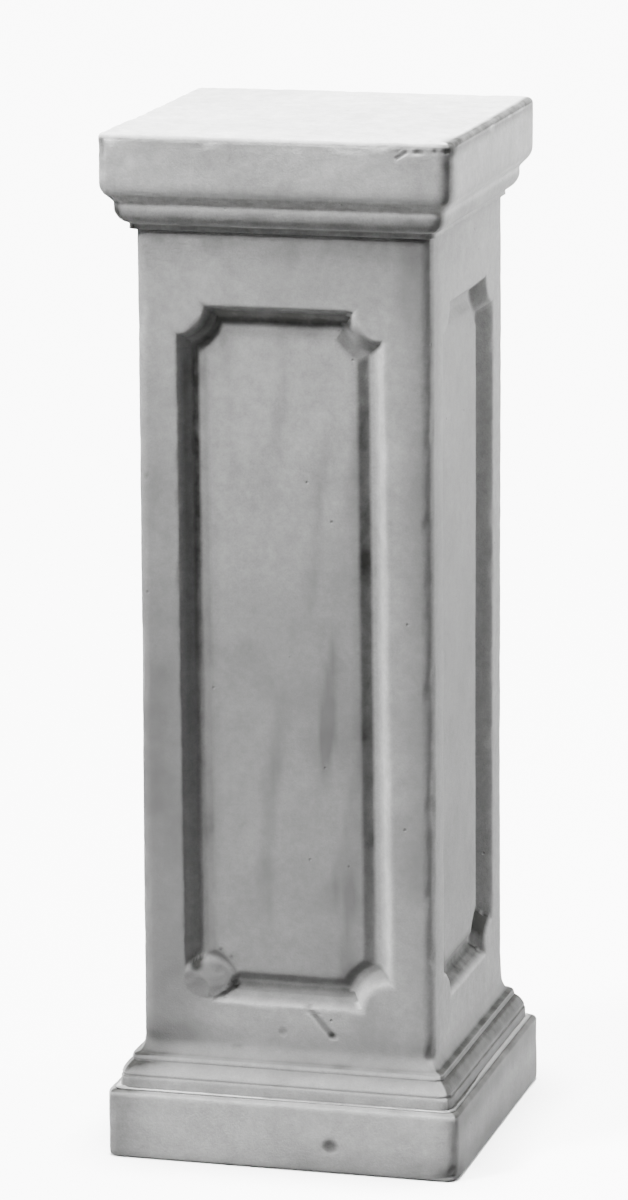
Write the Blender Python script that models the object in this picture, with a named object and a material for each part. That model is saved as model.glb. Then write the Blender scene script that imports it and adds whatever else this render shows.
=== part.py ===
"""Square garden pedestal in cast stone: a panelled shaft with its base and plinth, under a moulded cap.

Metres, +Z up. The origin is the middle of the underside, and the front faces -Y.
Run with: blender --background --python part.py
"""
import math

import bmesh
import bpy
from mathutils import Matrix, Vector

# Driving dimensions: overall sizes
TOTAL_HEIGHT = 0.856
PLINTH_WIDTH = 0.300
SHAFT_WIDTH = 0.250
CAP_WIDTH = 0.293
PLINTH_HEIGHT = 0.0585
CAP_HEIGHT = 0.0795

# Rounding of the upright arrises in plan, and of the level ones
SHAFT_ARRIS_RADIUS = 0.010
CAP_ARRIS_RADIUS = 0.009
PLINTH_TOP_ROUNDING = 0.0045
PLINTH_FOOT_ROUNDING = 0.002
CAP_TOP_ROUNDING = 0.004
ARRIS_SEGMENTS = 3
EDGE_SEGMENTS = 3
CURVE_SEGMENTS = 4

# Base moulding, from the plinth up: band, ovolo, fillet and the cove that runs into the shaft
BAND_PROJECTION = 0.0170
BAND_HEIGHT = 0.0105
BAND_BATTER = 0.0003
OVOLO_HEIGHT = 0.0110
OVOLO_WIDTH = 0.0072
OVOLO_BULGE = 0.0012
FILLET_HEIGHT = 0.0055
FILLET_BATTER = 0.0015
FILLET_LEDGE = 0.0043
FILLET_LEDGE_RISE = 0.0009
COVE_HEIGHT = 0.0125

# Cap moulding, from the shaft up: fillet, ovolo, band, soffit and fascia
CAP_FILLET_PROJECTION = 0.0025
CAP_FILLET_HEIGHT = 0.0045
CAP_OVOLO_STEP = 0.0015
CAP_OVOLO_WIDTH = 0.0085
CAP_OVOLO_HEIGHT = 0.0130
CAP_BAND_HEIGHT = 0.0080
CAP_SOFFIT_RISE = 0.0060
FASCIA_FOOT_ROUNDING = 0.0040

# Sunk panel on each side: its margins, scooped corners and the groove around its lower-lying field
STILE_WIDTH = 0.0375
TOP_RAIL = 0.0605
BOTTOM_RAIL = 0.0345
SCOOP_RADIUS = 0.024
SCOOP_SEGMENTS = 6
GROOVE_WIDTH = 0.0240
GROOVE_DEPTH = 0.0137
LIP_RUN = 0.0106
LIP_ROUNDING = 0.0045
FIELD_RISE = 0.0044
FIELD_WALL_RUN = 0.0074
FIELD_ROUNDING = 0.0030
LIP_SEGMENTS = 3

# Clearances: the bed joint under the cap, and how far a cutter stands out of the face
BED_JOINT = 0.0003
CUTTER_REACH = 0.0010

PANEL_COUNT = 4
SHAFT_COLOUR = (0.36, 0.36, 0.355, 1.0)
CAP_COLOUR = (0.42, 0.42, 0.41, 1.0)
STONE_ROUGHNESS = 0.9


def clear_scene():
    """Takes every object out of the open scene."""
    for found in list(bpy.data.objects):
        bpy.data.objects.remove(found, do_unlink=True)


def new_collection(name):
    """Makes a collection under the scene's own."""
    made = bpy.data.collections.new(name)
    bpy.context.scene.collection.children.link(made)
    return made


def stone(name, colour):
    """Plain matt stone of one colour."""
    material = bpy.data.materials.new(name)
    material.use_nodes = True
    shader = material.node_tree.nodes["Principled BSDF"]
    shader.inputs["Base Color"].default_value = colour
    shader.inputs["Roughness"].default_value = STONE_ROUGHNESS
    shader.inputs["Metallic"].default_value = 0.0
    material.diffuse_color = colour
    return material


def bowed(start, end, bulge, segments):
    """Points of a shallow arc from start to end that stands bulge out of its chord, to the right of it."""
    first = Vector(start)
    last = Vector(end)
    chord = last - first
    half = chord.length / 2
    radius = (half * half + bulge * bulge) / (2 * abs(bulge))
    reach = 2 * math.asin(half / radius)
    along = chord.normalized()
    side = Vector((along.y, -along.x)) * math.copysign(1.0, bulge)
    centre = (first + last) / 2 + side * (abs(bulge) - radius)
    points = []
    for step in range(segments + 1):
        angle = reach * (step / segments - 0.5)
        points.append(tuple(centre + side * radius * math.cos(angle) + along * radius * math.sin(angle)))
    return points


def upright_bulge(start, end):
    """Bulge of the arc between two profile points that ends upright at the second one."""
    across = abs(end[0] - start[0])
    rise = abs(end[1] - start[1])
    return math.hypot(across, rise) / 2 * math.tan(math.atan2(across, rise) / 2)


def rounding(corner, before, after, radius, segments):
    """Points of a fillet of the given radius on the corner between the points before and after it."""
    middle = Vector(corner)
    back = (Vector(before) - middle).normalized()
    ahead = (Vector(after) - middle).normalized()
    opening = back.angle(ahead)
    reach = radius / math.tan(opening / 2)
    centre = middle + (back + ahead).normalized() * (radius / math.sin(opening / 2))
    start = middle + back * reach - centre
    end = middle + ahead * reach - centre
    sweep = start.angle(end)
    points = []
    for step in range(segments + 1):
        share = step / segments
        turned = (start * math.sin((1 - share) * sweep) + end * math.sin(share * sweep)) / math.sin(sweep)
        points.append(tuple(centre + turned))
    return points


def moulded_block(name, profile, arris_radius, material, collection):
    """A square block run up a profile of (half width, height) points, with its upright arrises rounded."""
    half, floor = profile[0]
    mesh = bmesh.new()
    bmesh.ops.create_cube(mesh, size=2 * half, matrix=Matrix.Translation((0.0, 0.0, floor + half)))
    upright = [edge for edge in mesh.edges if abs(edge.verts[0].co.z - edge.verts[1].co.z) > half]
    bmesh.ops.bevel(mesh, geom=upright, offset=arris_radius, offset_type="OFFSET", segments=ARRIS_SEGMENTS,
                    profile=0.5, affect="EDGES")
    lid = max(mesh.faces, key=lambda face: face.calc_center_median().z)
    set_ring(lid, *profile[1])
    for half, height in profile[2:]:
        raised = bmesh.ops.extrude_face_region(mesh, geom=[lid])["geom"]
        mesh.faces.remove(lid)
        lid = next(found for found in raised if isinstance(found, bmesh.types.BMFace))
        set_ring(lid, half, height)
    bmesh.ops.recalc_face_normals(mesh, faces=mesh.faces)
    return finished(name, mesh, material, collection)


def set_ring(lid, half, height):
    """Moves a level face to a height and half width; its rounded corners keep their radius."""
    grown = half - max(vert.co.x for vert in lid.verts)
    for vert in lid.verts:
        vert.co.x += math.copysign(1.0, vert.co.x) * grown
        vert.co.y += math.copysign(1.0, vert.co.y) * grown
        vert.co.z = height


def finished(name, mesh, material, collection):
    """Turns an edited mesh into a linked object."""
    data = bpy.data.meshes.new(name)
    mesh.to_mesh(data)
    mesh.free()
    if material is not None:
        data.materials.append(material)
    made = bpy.data.objects.new(name, data)
    collection.objects.link(made)
    return made


def base_profile():
    """Half widths and heights from the underside up to the shaft's bed under the cap."""
    plinth = PLINTH_WIDTH / 2
    shaft = SHAFT_WIDTH / 2
    foot = (plinth, PLINTH_FOOT_ROUNDING)
    shoulder = (plinth, PLINTH_HEIGHT)
    band_foot = (shaft + BAND_PROJECTION, PLINTH_HEIGHT)
    band_top = (band_foot[0] - BAND_BATTER, PLINTH_HEIGHT + BAND_HEIGHT)
    ovolo_top = (band_top[0] - OVOLO_WIDTH, band_top[1] + OVOLO_HEIGHT)
    fillet_top = (ovolo_top[0] - FILLET_BATTER, ovolo_top[1] + FILLET_HEIGHT)
    cove_foot = (fillet_top[0] - FILLET_LEDGE, fillet_top[1] + FILLET_LEDGE_RISE)
    cove_top = (shaft, cove_foot[1] + COVE_HEIGHT)
    shaft_top = (shaft, TOTAL_HEIGHT - CAP_HEIGHT - BED_JOINT)
    points = [(plinth - PLINTH_FOOT_ROUNDING, 0.0), foot]
    points += rounding(shoulder, foot, band_foot, PLINTH_TOP_ROUNDING, EDGE_SEGMENTS)
    points.append(band_foot)
    points += bowed(band_top, ovolo_top, OVOLO_BULGE, CURVE_SEGMENTS)
    points.append(fillet_top)
    points += bowed(cove_foot, cove_top, -upright_bulge(cove_foot, cove_top), CURVE_SEGMENTS)
    points.append(shaft_top)
    return points


def cap_profile():
    """Half widths and heights from the bed joint up to the flat top."""
    bed = TOTAL_HEIGHT - CAP_HEIGHT
    cap = CAP_WIDTH / 2
    fillet = SHAFT_WIDTH / 2 + CAP_FILLET_PROJECTION
    ovolo_foot = (fillet + CAP_OVOLO_STEP, bed + CAP_FILLET_HEIGHT)
    ovolo_top = (ovolo_foot[0] + CAP_OVOLO_WIDTH, ovolo_foot[1] + CAP_OVOLO_HEIGHT)
    band_top = (ovolo_top[0], ovolo_top[1] + CAP_BAND_HEIGHT)
    fascia_foot = (cap, band_top[1] + CAP_SOFFIT_RISE)
    edge = (cap, TOTAL_HEIGHT)
    points = [(fillet, bed), (fillet, ovolo_foot[1])]
    points += bowed(ovolo_foot, ovolo_top, upright_bulge(ovolo_foot, ovolo_top), CURVE_SEGMENTS)
    points.append(band_top)
    points += rounding(fascia_foot, band_top, edge, FASCIA_FOOT_ROUNDING, EDGE_SEGMENTS)
    points += rounding(edge, fascia_foot, (0.0, TOTAL_HEIGHT), CAP_TOP_ROUNDING, EDGE_SEGMENTS)
    return points


def scooped_outline(half_width, half_height, inset):
    """Corner arcs of the panel's outline moved in by inset; the scoops stay centred on the outer corners."""
    radius = SCOOP_RADIUS + inset
    start = math.asin(inset / radius)
    points = []
    for turn in range(4):
        corner_x = half_width if turn in (0, 3) else -half_width
        corner_z = half_height if turn in (0, 1) else -half_height
        inward = math.pi + turn * math.pi / 2
        for step in range(SCOOP_SEGMENTS + 1):
            angle = inward + math.pi / 2 - start - (math.pi / 2 - 2 * start) * step / SCOOP_SEGMENTS
            points.append((corner_x + radius * math.cos(angle), corner_z + radius * math.sin(angle)))
    return points


def panel_section():
    """The panel's section as (inset, depth) points, from the outer lip through the groove to the field."""
    lip_edge = (0.0, 0.0)
    lip_foot = (LIP_RUN, GROOVE_DEPTH)
    field_foot = (GROOVE_WIDTH - FIELD_WALL_RUN, GROOVE_DEPTH)
    field_edge = (GROOVE_WIDTH, GROOVE_DEPTH - FIELD_RISE)
    points = rounding(lip_edge, (-1.0, 0.0), lip_foot, LIP_ROUNDING, LIP_SEGMENTS)
    points += [lip_foot, field_foot]
    points += rounding(field_edge, field_foot, (1.0, field_edge[1]), FIELD_ROUNDING, LIP_SEGMENTS)
    return points


def panel_cutter(name, quarter_turns, collection):
    """A closed block that sinks one panel, lofted between scooped outlines from the face to its field."""
    bottom = PLINTH_HEIGHT + base_moulding_height() + BOTTOM_RAIL
    top = TOTAL_HEIGHT - CAP_HEIGHT - TOP_RAIL
    half_width = SHAFT_WIDTH / 2 - STILE_WIDTH
    half_height = (top - bottom) / 2
    section = panel_section()
    over_lip = extended(section[1], section[0])
    rings = []
    mesh = bmesh.new()
    for inset, depth in [over_lip] + section[1:]:
        outline = scooped_outline(half_width, half_height, inset)
        face_y = -SHAFT_WIDTH / 2 + depth
        rings.append([mesh.verts.new((x, face_y, (top + bottom) / 2 + z)) for x, z in outline])
    for ring, deeper in zip(rings, rings[1:]):
        for place in range(len(ring)):
            ahead = (place + 1) % len(ring)
            mesh.faces.new((ring[place], ring[ahead], deeper[ahead], deeper[place]))
    mesh.faces.new(rings[0])
    mesh.faces.new(rings[-1])
    bmesh.ops.recalc_face_normals(mesh, faces=mesh.faces)
    bmesh.ops.rotate(mesh, verts=mesh.verts, cent=(0.0, 0.0, 0.0),
                     matrix=Matrix.Rotation(quarter_turns * math.pi / 2, 3, "Z"))
    cutter = finished(name, mesh, None, collection)
    cutter.hide_render = True
    cutter.display_type = "WIRE"
    return cutter


def extended(inner, outer):
    """The point where the line from inner through outer stands one cutter reach out of the face."""
    share = (inner[1] + CUTTER_REACH) / (inner[1] - outer[1])
    return (inner[0] + (outer[0] - inner[0]) * share, -CUTTER_REACH)


def base_moulding_height():
    """Height of the moulding between the plinth and the plain shaft."""
    return BAND_HEIGHT + OVOLO_HEIGHT + FILLET_HEIGHT + FILLET_LEDGE_RISE + COVE_HEIGHT


def build():
    """Makes the two pieces: the shaft with its base, cast in one, and the cap bedded on it."""
    clear_scene()
    pieces = new_collection("panelled_pedestal")
    cutters = new_collection("cutters")
    shaft = moulded_block("shaft_and_base", base_profile(), SHAFT_ARRIS_RADIUS,
                          stone("shaft_stone", SHAFT_COLOUR), pieces)
    for side in range(PANEL_COUNT):
        cut = shaft.modifiers.new(f"panel_{side}", "BOOLEAN")
        cut.operation = "DIFFERENCE"
        cut.solver = "EXACT"
        cut.object = panel_cutter(f"panel_cutter_{side}", side, cutters)
    moulded_block("cap", cap_profile(), CAP_ARRIS_RADIUS, stone("cap_stone", CAP_COLOUR), pieces)


build()
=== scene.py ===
"""Worn stone skins, floor, light and camera for a square garden pedestal in cast stone.

The sizes of the two pieces come from the frame, and those of the carving repeat the solids' own.
"""
import math

import bmesh
import bpy
import numpy as np
from bpy.props import FloatProperty, FloatVectorProperty, PointerProperty
from bpy.types import Operator, Panel, PropertyGroup
from mathutils import Matrix, Vector, noise
from mathutils.geometry import delaunay_2d_cdt


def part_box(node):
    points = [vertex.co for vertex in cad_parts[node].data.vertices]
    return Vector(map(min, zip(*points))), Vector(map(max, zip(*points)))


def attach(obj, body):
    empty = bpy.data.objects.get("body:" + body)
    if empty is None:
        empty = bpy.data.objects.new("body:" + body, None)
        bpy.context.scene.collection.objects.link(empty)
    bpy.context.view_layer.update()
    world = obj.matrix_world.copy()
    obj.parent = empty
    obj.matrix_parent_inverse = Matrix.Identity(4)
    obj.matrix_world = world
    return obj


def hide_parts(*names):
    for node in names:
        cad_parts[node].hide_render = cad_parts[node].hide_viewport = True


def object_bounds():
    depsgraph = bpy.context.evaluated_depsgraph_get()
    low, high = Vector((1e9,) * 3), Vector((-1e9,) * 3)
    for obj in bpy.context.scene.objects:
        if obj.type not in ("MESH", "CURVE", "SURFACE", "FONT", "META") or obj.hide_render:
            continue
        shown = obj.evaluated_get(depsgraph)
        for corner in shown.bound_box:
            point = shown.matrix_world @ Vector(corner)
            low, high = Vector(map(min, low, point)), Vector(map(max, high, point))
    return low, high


bl_info = {
    "name": "Cast Stone Pedestal",
    "version": (1, 0, 0),
    "blender": (4, 5, 0),
    "location": "3D View > Sidebar > Pedestal",
    "description": "Dresses a panelled pedestal in weathered cast stone and sets its studio",
    "category": "Object",
}

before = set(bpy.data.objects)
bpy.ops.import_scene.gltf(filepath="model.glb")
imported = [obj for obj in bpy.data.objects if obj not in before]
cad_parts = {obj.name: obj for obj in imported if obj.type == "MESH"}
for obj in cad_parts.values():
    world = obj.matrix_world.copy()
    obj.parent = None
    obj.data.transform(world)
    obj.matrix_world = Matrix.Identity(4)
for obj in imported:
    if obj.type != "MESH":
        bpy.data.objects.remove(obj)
CAD_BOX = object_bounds()
SHAFT_LOW, SHAFT_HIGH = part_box("shaft_and_base")
CAP_LOW, CAP_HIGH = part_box("cap")
MM = 0.001
FRONT, RIGHT, LEFT = 0, 1, 3

# The photograph's camera, fitted to the pedestal's outline
CAMERA_PLACE = (1.20417, -4.43830, 1.48600)
CAMERA_AZIMUTH = math.radians(15.28)
CAMERA_PITCH = math.radians(-12.706)
CAMERA_ROLL = math.radians(-0.448)
FOCAL_PIXELS = 5663.0
IMAGE_HEIGHT = 1200
SENSOR_SIZE = 36.0

# Spacing of the skin's points: rows up the arrises, along a groove, around a scoop, on the flats
# and on the hidden level faces
ROW_STEP = 4.2 * MM
GROOVE_STEP = 4.9 * MM
SCOOP_STEP = 2.1 * MM
FLAT_STEP = 4.7 * MM
LEVEL_STEP = 14.0 * MM

# Dirt and painted shade on the lip's slope, the groove's floor and the field's wall, at a panel's left, top,
# right and bottom, for the front, right, back and left sides; the shade is painted on slopes and floors
# that a lip shades, and on walls turned from the light
SOIL_AND_SHADE = np.array((((0.65, 0.96, 0.52), (0.98, 1.00, 0.58), (0.00, 0.14, 0.72), (0.56, 0.66, 0.46)),
                 ((0.45, 0.50, 0.20), (0.22, 0.26, 0.24), (0.20, 0.26, 0.20), (0.80, 0.76, 0.62)),
                 ((0.60, 0.66, 0.20), (0.76, 0.80, 0.35), (0.10, 0.20, 0.60), (0.34, 0.40, 0.70)),
                 ((0.62, 0.68, 0.22), (0.80, 0.84, 0.35), (0.10, 0.20, 0.62), (0.34, 0.40, 0.75))))

# The shares that slope, floor and wall have in the dirt and painted shade, at insets from the lip in
# millimetres
GROOVE_STEPS = (0.0, 3.0, 5.0, 9.0, 11.0, 14.2, 16.2, 22.5, 28.0)
GROOVE_SHARES = ((0.0, 0.75, 1.0, 1.0, 0.0, 0.0, 0.0, 0.0, 0.0),
                 (0.0, 0.0, 0.0, 0.0, 1.0, 1.0, 0.0, 0.0, 0.0),
                 (0.0, 0.0, 0.0, 0.0, 0.0, 0.0, 1.0, 1.0, 0.0))

# Heights of the quirks between the base mouldings in millimetres, and the top of the mouldings
QUIRKS = (58.6, 68.4, 80.5, 86.4)
MOULDINGS_TOP = 0.084

# Dark marks on the front as place, reach and strength: painted shade in the gouge's heel, the nick beside it
# and the bug hole, the end of the left groove, two dots and a shade by the worn scoop, and a dot on the cove
# and on the stile
FRONT_MARKS = (((0.0386, 0.1104), (0.0060, 0.0040), 0.50), ((-0.0036, 0.1108), (0.0065, 0.0060), 0.22),
               ((0.0426, 0.0232), (0.0098, 0.0092), 0.72), ((-0.0785, 0.1632), (0.0090, 0.0080), 0.95),
               ((-0.0500, 0.1700), (0.0028, 0.0028), 0.50), ((-0.0590, 0.1760), (0.0026, 0.0026), 0.45),
               ((-0.0610, 0.1680), (0.0120, 0.0150), 0.16), ((-0.0430, 0.0960), (0.0040, 0.0035), 0.40),
               ((-0.1170, 0.5750), (0.0028, 0.0040), 0.40))


def length(name, default, description):
    """A setting in metres."""
    return FloatProperty(name=name, default=default, unit="LENGTH", description=description)


def colour(name, default, description):
    """A setting for a colour."""
    return FloatVectorProperty(name=name, subtype="COLOR", size=3, default=default, min=0.0, max=1.0,
                               description=description)


class PedestalSizes(PropertyGroup):
    """Sizes of the carving, as in the solids, and of the wear on it"""
    shaft_width: length("Shaft width", 0.250, "Width of the plain shaft")
    plinth_height: length("Plinth height", 0.0585, "Height of the plinth under the base moulding")
    shaft_arris: length("Shaft arris radius", 0.0105, "Plan rounding of the shaft's worn upright arrises")
    base_arris: length("Base arris radius", 0.0095, "Plan rounding of base moulding and plinth arrises")
    cap_arris: length("Cap arris radius", 0.009, "Plan rounding of the cap's upright arrises")
    stile_width: length("Stile width", 0.0375, "Plain border at each side of a panel")
    top_rail: length("Top rail", 0.0605, "Plain border above a panel")
    bottom_rail: length("Bottom rail", 0.0345, "Plain border between the base moulding and a panel")
    scoop_radius: length("Scoop radius", 0.024, "Radius of the scooped corners at the panel's outer lip")
    groove_width: length("Groove width", 0.0240, "Width of the groove from the lip to the field")
    groove_depth: length("Groove depth", 0.0137, "Depth of the groove around the field")
    lip_run: length("Lip run", 0.0106, "Width of the slope from the lip down to the groove's floor")
    field_rise: length("Field rise", 0.0044, "How far the field stands above the groove's floor")
    field_wall: length("Field wall run", 0.0074, "Width of the slope from the groove's floor up to the field")
    waviness: length("Waviness", 0.00045, "How far the cast faces wander from flat")
    arris_wear: length("Arris wear", 0.0016, "Deepest wear along the arrises")


class PedestalColours(PropertyGroup):
    """Colours of the stone, of what has settled on it, and of the shade and highlight painted on it"""
    stone: colour("Stone", (0.36, 0.36, 0.358), "The body of the cast stone")
    # The bleached colour also paints highlight on lit lips and arrises, and light in the shade under the
    # cap's fascia
    pale: colour("Bleached stone", (0.56, 0.56, 0.555), "Stone bleached by rain, on top and on rubbed edges")
    # The damp colour also paints shade on the right side, near the front's right arris and at the plinth's
    # foot
    damp_and_shade: colour("Damp stone", (0.135, 0.135, 0.134), "Stone darkened by damp and weather")
    # The grime colour also paints shade in grooves, quirks and pits, along arrises, on ledges and under the
    # cap
    grime_and_shade: colour("Grime", (0.012, 0.012, 0.011), "Dirt in hollows and under the cap")
    floor: colour("Floor", (0.90, 0.90, 0.90), "The pale studio floor")


def arc(start, end, bulge, steps):
    """Points of a shallow arc that stands bulge out of its chord, to the right of it."""
    first = Vector(start)
    last = Vector(end)
    half = (last - first).length / 2
    radius = (half * half + bulge * bulge) / (2 * abs(bulge))
    reach = 2 * math.asin(half / radius)
    along = (last - first).normalized()
    side = Vector((along.y, -along.x)) * math.copysign(1.0, bulge)
    centre = (first + last) / 2 + side * (abs(bulge) - radius)
    turns = [reach * (step / steps - 0.5) for step in range(steps + 1)]
    side *= radius
    along *= radius
    return [tuple(centre + side * math.cos(turn) + along * math.sin(turn)) for turn in turns]


def upright_bulge(start, end):
    """Bulge of the arc between two profile points that ends upright at the second one."""
    across = abs(end[0] - start[0])
    rise = abs(end[1] - start[1])
    return math.hypot(across, rise) / 2 * math.tan(math.atan2(across, rise) / 2)


def softened(points, spacing, reach):
    """Resamples a path evenly and smooths it, as casting and weather do; its ends stay."""
    path = np.array(points, float)
    gaps = np.hypot(*np.diff(path, axis=0).T)
    lengths = np.concatenate([[0.0], np.cumsum(gaps)])
    count = int(lengths[-1] / spacing)
    even = np.linspace(0.0, lengths[-1], count + 1)
    fine = np.stack([np.interp(even, lengths, path[:, axis]) for axis in range(2)], 1)
    width = int(3 * reach / spacing)
    weights = np.exp(-0.5 * (np.arange(-width, width + 1) * spacing / reach) ** 2)
    weights /= weights.sum()
    padded = np.concatenate([2 * fine[0] - fine[width:0:-1], fine, 2 * fine[-1] - fine[-2:-width - 2:-1]])
    return np.stack([np.convolve(padded[:, axis], weights, "valid") for axis in range(2)], 1)


def paced(path, longest, sharpest):
    """Picks points along a fine path: close together where it turns, apart where it is straight."""
    picked = [0]
    since = 0.0
    for place in range(1, len(path) - 1):
        before = path[place] - path[place - 1]
        after = path[place + 1] - path[place]
        turn = abs(math.atan2(before[0] * after[1] - before[1] * after[0], float(before @ after)))
        since += np.hypot(*before) / longest + turn / sharpest
        if since >= 1.0:
            picked.append(place)
            since = 0.0
    return path[picked + [len(path) - 1]]


def base_path(sizes):
    """The plinth and base moulding as (half width, height), from the underside to the plain shaft."""
    plinth = SHAFT_HIGH.x
    shaft = sizes.shaft_width / 2
    ledge = sizes.plinth_height
    band_foot = (shaft + 17.0 * MM, ledge)
    band_top = (shaft + 16.7 * MM, ledge + 9.6 * MM)
    ovolo_top = (band_top[0] - 7.2 * MM, band_top[1] + 11.9 * MM)
    fillet_top = (ovolo_top[0] - 1.5 * MM, ovolo_top[1] + 5.5 * MM)
    cove_foot = (fillet_top[0] - 4.3 * MM, fillet_top[1] + 0.9 * MM)
    cove_top = (shaft, cove_foot[1] + 12.5 * MM)
    points = [(plinth - 2.5 * MM, 0.0), (plinth - 0.6 * MM, 1.2 * MM), (plinth, 3.5 * MM)]
    points += arc((plinth, ledge - 4.5 * MM), (plinth - 4.5 * MM, ledge), 1.3 * MM, 6)
    points += [(band_foot[0] - 1.2 * MM, ledge - 0.4 * MM), band_foot, band_top]
    points.append((band_top[0] - 1.2 * MM, band_top[1] + 0.4 * MM))
    points += arc((band_top[0] - 0.4 * MM, band_top[1] + 1.6 * MM), ovolo_top, 1.1 * MM, 8)
    points.append((ovolo_top[0] - 1.2 * MM, ovolo_top[1] + 0.3 * MM))
    points += [(ovolo_top[0] - 0.3 * MM, ovolo_top[1] + 1.3 * MM), fillet_top]
    points += arc(cove_foot, cove_top, -upright_bulge(cove_foot, cove_top), 10)
    return points


def cap_path(sizes):
    """The cap's side as (half width, height), from its bed to where the flat top begins."""
    bed = CAP_LOW.z
    top = CAP_HIGH.z
    cap = CAP_HIGH.x
    fillet = sizes.shaft_width / 2 + 2.5 * MM
    ovolo_foot = (fillet + 1.5 * MM, bed + 4.5 * MM)
    ovolo_top = (ovolo_foot[0] + 8.5 * MM, ovolo_foot[1] + 13.0 * MM)
    band_top = (ovolo_top[0], ovolo_top[1] + 5.0 * MM)
    points = [(fillet, bed), (fillet, ovolo_foot[1])]
    points += arc(ovolo_foot, ovolo_top, upright_bulge(ovolo_foot, ovolo_top), 10)
    points.append(band_top)
    for inward, rise in ((6.4, 3.0), (2.6, 7.0), (0.6, 11.0), (0.0, 14.5)):
        points.append((cap - inward * MM, band_top[1] + rise * MM))
    points += arc((cap, top - 4.0 * MM), (cap - 4.0 * MM, top), 1.17 * MM, 6)
    points.append((cap - 8.0 * MM, top))
    return points


def plan_columns(spacing, fine, arris_steps):
    """Places around one side of the plan: shares along the flat, then turns of its right-hand arris.

    Each (from, to) share in fine gets columns three times as close.
    """
    shares = list(np.linspace(-1.0, 1.0, int(round(2.0 / spacing)) + 1))
    for start, end in fine:
        shares = [share for share in shares if not start < share < end]
        shares += list(np.linspace(start, end, int(round((end - start) * 3.0 / spacing)) + 1))
    shares = sorted(set(np.round(shares, 6)))
    turns = np.linspace(0.0, math.pi / 2, arris_steps + 1)[1:-1]
    return np.array(shares), turns


def side_ring(shares, turns, half, radius):
    """One side's plan points at a half width, with its right-hand arris, facing -Y."""
    flat = half - radius
    xs = np.concatenate([shares * flat, flat + radius * np.sin(turns)])
    ys = np.concatenate([np.full(len(shares), -half), -flat - radius * np.cos(turns)])
    return xs, ys


def turned(xs, ys, side):
    """Turns plan points from the front to one of the four sides."""
    for _ in range(side):
        xs, ys = -ys, xs
    return xs, ys


def around(xs, ys):
    """One side's plan points, turned to all four sides in order."""
    return np.concatenate([np.stack(turned(xs, ys, side), 1) for side in range(4)])


class Skin:
    """Gathers the patches of one piece, to be welded into a single closed mesh."""

    def __init__(self):
        self.points = []
        self.faces = []

    def add(self, points, faces):
        """Takes a patch: its points, and faces that index them."""
        start = sum(len(found) for found in self.points)
        self.points.append(np.asarray(points, float))
        self.faces += [tuple(start + corner for corner in face) for face in faces]

    def add_rings(self, path, shares, turns, radii):
        """Takes closed rings around the plan, one for each (half width, height) and its arris radius."""
        rows = []
        for (half, height), radius in zip(path, radii):
            plan = around(*side_ring(shares, turns, half, radius))
            rows.append(np.column_stack([plan, np.full(len(plan), height)]))
        count = len(rows[0])
        faces = []
        for row in range(len(rows) - 1):
            for column in range(count):
                ahead = (column + 1) % count
                faces.append((row * count + column, row * count + ahead,
                              (row + 1) * count + ahead, (row + 1) * count + column))
        self.add(np.concatenate(rows), faces)
        return rows

    def add_level(self, rim, height, spacing, upward):
        """Closes a rim with a flat level face of triangles."""
        low = rim.min(0)[:2] + spacing
        high = rim.max(0)[:2] - spacing
        grid = np.stack(np.meshgrid(np.arange(low[0], high[0], spacing),
                                    np.arange(low[1], high[1], spacing)), -1).reshape(-1, 2)
        margin = rim[:, 0].max() - spacing * 0.8
        grid = grid[np.abs(grid).sum(1) < 2 * margin - 0.006]
        flat = np.concatenate([rim[:, :2], grid])
        faces = triangles(flat, [])
        points = np.concatenate([flat, np.full((len(flat), 1), height)], 1)
        self.add(points, faces if upward else [face[::-1] for face in faces])

    def weld(self, name):
        """Makes the object, with its seams welded and its faces pointing out."""
        mesh = bmesh.new()
        verts = [mesh.verts.new(point) for point in np.concatenate(self.points)]
        for face in self.faces:
            mesh.faces.new([verts[corner] for corner in face])
        bmesh.ops.remove_doubles(mesh, verts=mesh.verts, dist=2e-5)
        bmesh.ops.recalc_face_normals(mesh, faces=mesh.faces)
        data = bpy.data.meshes.new(name)
        mesh.to_mesh(data)
        mesh.free()
        data.shade_smooth()
        made = bpy.data.objects.new(name, data)
        bpy.context.scene.collection.objects.link(made)
        return made


def triangles(flat, rows):
    """Delaunay triangles over flat points, turned to face up, with the edges in rows kept."""
    found = delaunay_2d_cdt([Vector(point) for point in flat], rows, [], 0, 1e-7)
    kept = [sources[0] if sources else None for sources in found[3]]
    faces = []
    for face in found[2]:
        a, b, c = (kept[corner] for corner in face)
        turn = np.cross(flat[b] - flat[a], flat[c] - flat[a])
        faces.append((a, b, c) if turn > 0 else (a, c, b))
    return faces


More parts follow.
